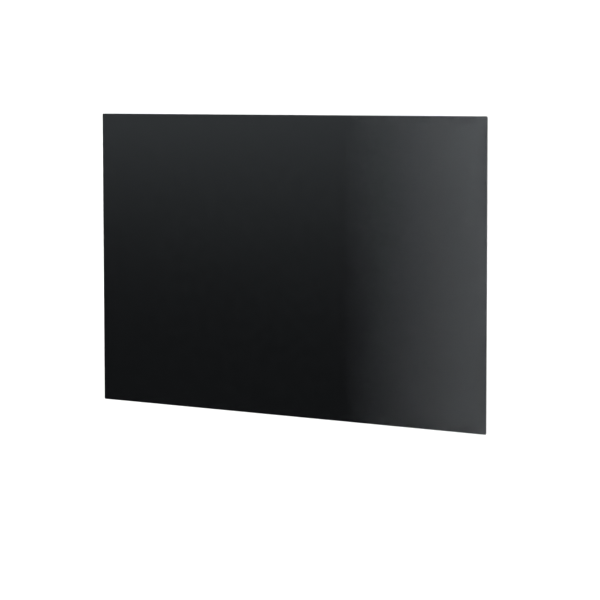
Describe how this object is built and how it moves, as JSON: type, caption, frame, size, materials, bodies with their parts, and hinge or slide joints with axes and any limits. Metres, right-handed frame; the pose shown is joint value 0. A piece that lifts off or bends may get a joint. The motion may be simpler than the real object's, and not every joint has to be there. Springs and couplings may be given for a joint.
{
  "type": "monitor privacy filter",
  "caption": "Thin dark rectangular film sheet with fine upright louvres inside, stuck over a desktop display by clear strips on its back so that the picture shows only from in front.",
  "frame": {"origin": "under the middle of the sheet, on the plane of the adhesive strips' faces", "axes": "+X to the right of the screen, +Y up the screen, +Z out of the screen towards the viewer"},
  "size_m": [0.518, 0.324, 0.0008],
  "materials": {
    "louvred_film": "black louvres under a satin anti-glare face; smoked and see-through square on, black from the sides",
    "clear_adhesive": "clear soft acrylic adhesive with a wet shine"
  },
  "bodies": {
    "root": {"filter_sheet": "louvred_film", "strip_top_left": "clear_adhesive", "strip_left_upper": "clear_adhesive", "strip_bottom_left": "clear_adhesive", "strip_left_lower": "clear_adhesive", "strip_top_right": "clear_adhesive", "strip_right_upper": "clear_adhesive", "strip_bottom_right": "clear_adhesive", "strip_right_lower": "clear_adhesive"}
  },
  "joints": []
}
